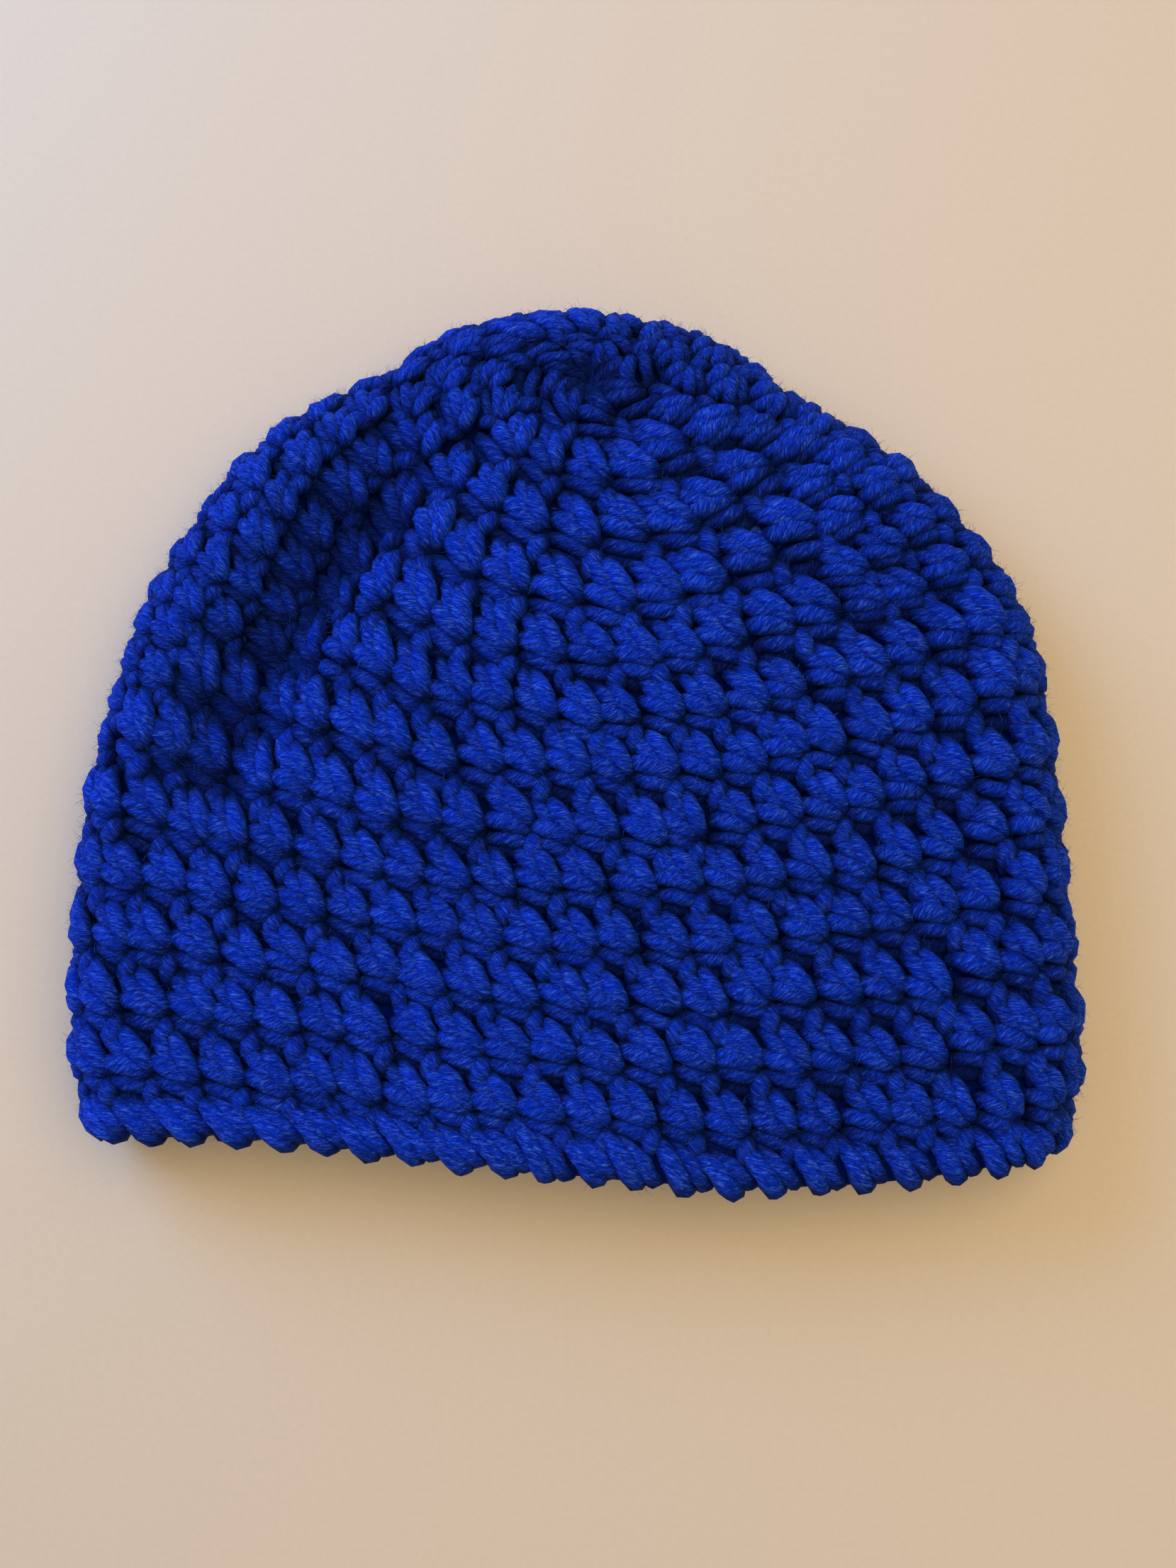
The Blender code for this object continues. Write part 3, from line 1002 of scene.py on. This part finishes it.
class BeanieYarn(bpy.types.PropertyGroup):
    """The yarn: its sizes, twist and colours."""
    thickness: FloatProperty(name="Thickness", description="Width of one strand",
                             default=0.0037, min=0.0005, unit="LENGTH")
    twist: FloatProperty(name="Twist", description="Turn of the plies between two places of a strand",
                         default=-1.1, subtype="ANGLE")
    groove: FloatProperty(name="Groove", description="Depth of the grooves, as a share of the radius",
                          default=0.1, min=0.0, max=0.6)
    unevenness: FloatProperty(name="Unevenness", description="How far strands stray from the pattern",
                              default=0.05, min=0.0, max=0.3)
    seed: IntProperty(name="Seed", description="Start of the chance moves of the strands", default=7)
    colour: FloatVectorProperty(name="Colour", description="Dye of the yarn", subtype="COLOR",
                                default=(0.0002, 0.0278, 0.485), min=0.0, max=1.0)


class BeanieFuzz(bpy.types.PropertyGroup):
    """The loose fibres that stand out of the yarn."""
    count: IntProperty(name="Count", description="Number of loose fibres all over", default=12000, min=0)
    halo: IntProperty(name="Halo", description="Number of loose fibres along the folds and edges",
                      default=7500, min=0)
    length: FloatProperty(name="Length", description="Length of a loose fibre",
                          default=0.0020, unit="LENGTH")
    thickness: FloatProperty(name="Thickness", description="Width of a loose fibre at its root",
                             default=0.00009, unit="LENGTH")
    # The loose fibres' colour is paler than the yarn's dye: painted light, standing in for light shining
    # through the thin fibres
    colour: FloatVectorProperty(name="Colour", description="Colour of a thin fibre with light behind it",
                                subtype="COLOR", default=(0.03, 0.14, 0.68), min=0.0, max=1.0)


class BeanieStage(bpy.types.PropertyGroup):
    """The floor, light and camera."""
    floor_colour: FloatVectorProperty(name="Floor", description="Colour of the floor", subtype="COLOR",
                                      default=(0.72, 0.60, 0.455), min=0.0, max=1.0)
    window: FloatProperty(name="Window", description="Power of the cool light at the left",
                          default=6.5, unit="POWER")
    lamp: FloatProperty(name="Lamp", description="Power of the large warm light overhead",
                        default=5.4, unit="POWER")
    sky: FloatProperty(name="Sky", description="Strength of the light from all round", default=0.43)


class BeanieWall(bpy.types.Operator):
    """Makes the core of the hat's wall, painted dark as shade, which shows between the stitches"""
    bl_idname = "beanie.wall"
    bl_label = "Wall Core"

    def execute(self, context):
        yarn = context.scene.beanie_yarn
        outer = -yarn.thickness * WALL_CORE.outer
        inner = -WALL + yarn.thickness * WALL_CORE.inner
        profile = [(0.0, outer)]
        profile += [(number * 0.5, outer) for number in range(1, 2 * ROUNDS + 1)]
        profile += [(number * 0.5, inner) for number in range(2 * ROUNDS, 0, -1)]
        profile.append((0.0, inner))
        mesh = turned_wall(profile, CORE_STEPS, False)
        piece = finished("wall_core", mesh, painted_shade_core_material(yarn.colour))
        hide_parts("crown_and_sides")
        return {"FINISHED"}


class BeanieStitches(bpy.types.Operator):
    """Makes the stitches of the crown, the shoulders, the upper layer and the lower layer"""
    bl_idname = "beanie.stitches"
    bl_label = "Stitches"

    def execute(self, context):
        yarn = context.scene.beanie_yarn
        chance = random.Random(yarn.seed)
        material = yarn_material("body_yarn", yarn.colour)
        section = ply_section("ply_section", YARN_SIDES, yarn.groove)
        for name, cells in (
            ("crown_stitches", outer_cells(CROWN_ROUNDS, 0.0, 1.0)),
            ("shoulder_stitches", outer_cells(SHOULDER_ROUNDS, 0.0, 1.0)),
            ("upper_stitches", outer_cells(SIDE_ROUNDS, 0.0, 0.5)),
            ("lower_stitches", outer_cells(SIDE_ROUNDS, 0.5, 1.0)),
        ):
            strands = outer_strands(cells, yarn, chance)
            piece = yarn_piece(name, strands, section, YARN_SPANS, material)
            mark_painted_shade_depth(piece, yarn.thickness)
        bpy.data.objects.remove(section)
        return {"FINISHED"}


class BeanieInnerFace(bpy.types.Operator):
    """Makes the plainer stitches of the inner face"""
    bl_idname = "beanie.inner_face"
    bl_label = "Inner Face"

    def execute(self, context):
        yarn = context.scene.beanie_yarn
        chance = random.Random(yarn.seed + 1)
        section = ply_section("inner_section", INNER_SIDES, yarn.groove)
        piece = yarn_piece("inner_stitches", inner_strands(yarn, chance), section, YARN_SPANS,
                           bpy.data.materials["body_yarn"])
        mark_painted_shade_depth(piece, yarn.thickness)
        bpy.data.objects.remove(section)
        return {"FINISHED"}


class BeanieEdging(bpy.types.Operator):
    """Makes the rope-like last round and its core"""
    bl_idname = "beanie.edging"
    bl_label = "Edging"

    def execute(self, context):
        yarn = context.scene.beanie_yarn
        chance = random.Random(yarn.seed + 2)
        outer = -yarn.thickness * EDGING_CORE.outer
        inner = -WALL + yarn.thickness * EDGING_CORE.inner
        start = ROUNDS + EDGING_CORE_START
        end = ROUNDS + EDGING_CORE_END
        lip = (end + EDGING_CORE_LIP, (outer + inner) / 2)
        profile = [(start, outer), (end, outer), lip, (end, inner), (start, inner)]
        mesh = turned_wall(profile, CORE_STEPS, True)
        # The edging's core takes the same yarn, painted dark as shade
        core = finished("edging_core", mesh, bpy.data.materials["deep_yarn_painted_shade"])
        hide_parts("edging")
        material = yarn_material("edging_yarn", yarn.colour, fibres=(17.0, 12.0))
        section = ply_section("edging_section", YARN_SIDES, yarn.groove)
        strands = edging_strands(yarn, chance)
        piece = yarn_piece("edging_stitches", strands, section, YARN_SPANS, material)
        mark_painted_shade_depth(piece, yarn.thickness)
        bpy.data.objects.remove(section)
        return {"FINISHED"}


class BeanieFuzzFibres(bpy.types.Operator):
    """Makes the loose fibres that stand out of the yarn"""
    bl_idname = "beanie.fuzz"
    bl_label = "Fuzz"

    def execute(self, context):
        scene = context.scene
        yarn, fuzz = scene.beanie_yarn, scene.beanie_fuzz
        chance = random.Random(yarn.seed + 3)
        cells = outer_cells(range(1, ROUNDS + 1), 0.0, 1.0)
        routes = outer_strands(cells, yarn, random.Random(yarn.seed))
        # Not on the last strand of each stitch, which lies deep
        routes = [route for index, route in enumerate(routes) if index % len(STITCH) < len(STITCH) - 1]
        routes += edging_strands(yarn, chance)
        section = ply_section("fibre_section", FIBRE_SIDES, 0.0)
        material = yarn_material("fuzz_fibre", fuzz.colour, plies=0.0, ply_groove_painted_shade=0.0, fibres=(2.0, 1.0),
                                 contrast=0.3, deep=1.0)
        rim = [route for route in routes if abs(out_of_hat(route[2].point).z) < HALO_LEVEL]
        for name, roots, count in (("fuzz", routes, fuzz.count), ("halo_fuzz", rim, fuzz.halo)):
            fibres = [loose_fibre(chance.choice(roots), fuzz, chance) for _ in range(count)]
            yarn_piece(name, fibres, section, FIBRE_SPANS, material)
        bpy.data.objects.remove(section)
        return {"FINISHED"}


class BeanieStageSet(bpy.types.Operator):
    """Makes the floor, the light and the camera"""
    bl_idname = "beanie.stage"
    bl_label = "Stage"

    def execute(self, context):
        scene = context.scene
        stage = scene.beanie_stage
        floor_under(CAD_BOX[0].z, stage.floor_colour)
        area_light("window_light", WINDOW_LIGHT, stage.window)
        area_light("lamp_light", LAMP_LIGHT, stage.lamp)
        world = bpy.data.worlds.new("soft_room")
        world.use_nodes = True
        sky = world.node_tree.nodes["Background"]
        set_inputs(sky, {"Color": (*SKY_COLOUR, 1.0), "Strength": stage.sky})
        scene.world = world
        scene.view_settings.view_transform = "Standard"
        photo_camera(scene)
        return {"FINISHED"}


class BeaniePanel(bpy.types.Panel):
    """Lists the steps that make the hat"""
    bl_idname = "VIEW3D_PT_beanie"
    bl_label = "Beanie"
    bl_space_type = "VIEW_3D"
    bl_region_type = "UI"
    bl_category = "Beanie"

    def draw(self, context):
        scene = context.scene
        for settings in (scene.beanie_yarn, scene.beanie_fuzz, scene.beanie_stage):
            box = self.layout.box()
            for name in settings.__annotations__:
                box.prop(settings, name)
        for step in STEPS:
            self.layout.operator(step.bl_idname)


STEPS = (BeanieWall, BeanieStitches, BeanieInnerFace, BeanieEdging, BeanieFuzzFibres, BeanieStageSet)
SETTINGS = {"beanie_yarn": BeanieYarn, "beanie_fuzz": BeanieFuzz, "beanie_stage": BeanieStage}


def register():
    """Adds the settings, the operators and the panel."""
    for group in SETTINGS.values():
        bpy.utils.register_class(group)
    for name, group in SETTINGS.items():
        setattr(bpy.types.Scene, name, PointerProperty(type=group))
    for step in STEPS:
        bpy.utils.register_class(step)
    bpy.utils.register_class(BeaniePanel)


def unregister():
    """Takes them out again."""
    bpy.utils.unregister_class(BeaniePanel)
    for step in reversed(STEPS):
        bpy.utils.unregister_class(step)
    for name, group in SETTINGS.items():
        delattr(bpy.types.Scene, name)
        bpy.utils.unregister_class(group)


def main():
    """Makes the whole hat and its stage."""
    register()
    bpy.ops.beanie.wall()
    bpy.ops.beanie.stitches()
    bpy.ops.beanie.inner_face()
    bpy.ops.beanie.edging()
    bpy.ops.beanie.fuzz()
    bpy.ops.beanie.stage()


if __name__ == "__main__":
    main()
